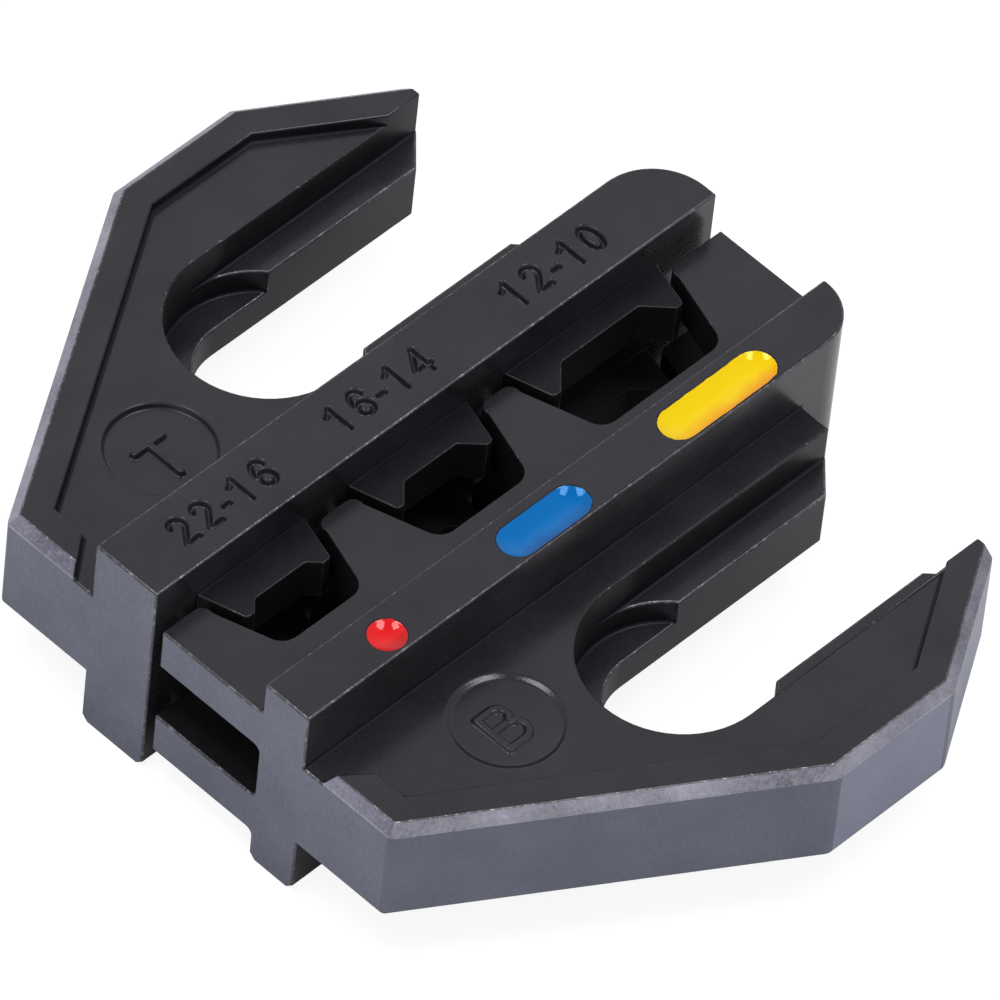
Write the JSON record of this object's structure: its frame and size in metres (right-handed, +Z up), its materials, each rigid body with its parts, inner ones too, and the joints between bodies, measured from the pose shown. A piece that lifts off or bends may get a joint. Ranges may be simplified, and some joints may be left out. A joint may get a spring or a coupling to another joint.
{
  "type": "crimping die set",
  "caption": "Pair of mating steel crimping dies for insulated cable terminals, with stepped mounting slots and colour-coded crimp nests.",
  "frame": {"origin": "centre of the set's footprint, on the surface that both dies stand on", "axes": "+X along the bars from the small nest to the large one, +Y from the bottom die to the top die (the closing direction is -Y), +Z up, through the dies' thickness"},
  "size_m": [0.0406, 0.0524, 0.0137],
  "materials": {
    "top_die_steel": "black oxide, ends ground bright",
    "bottom_die_steel": "black oxide, ends ground bright",
    "red_enamel": "gloss stove enamel",
    "blue_enamel": "gloss stove enamel",
    "yellow_enamel": "gloss stove enamel"
  },
  "bodies": {
    "fixed_die": {"bottom_die": "bottom_die_steel", "red_mark": "red_enamel", "blue_mark": "blue_enamel", "yellow_mark": "yellow_enamel"},
    "moving_die": {"top_die": "top_die_steel"}
  },
  "joints": [
    {"name": "closing_slide", "type": "slide", "parent": "fixed_die", "child": "moving_die", "axis": [0, 1, 0], "range_m": [-0.00055, 0.01]}
  ]
}
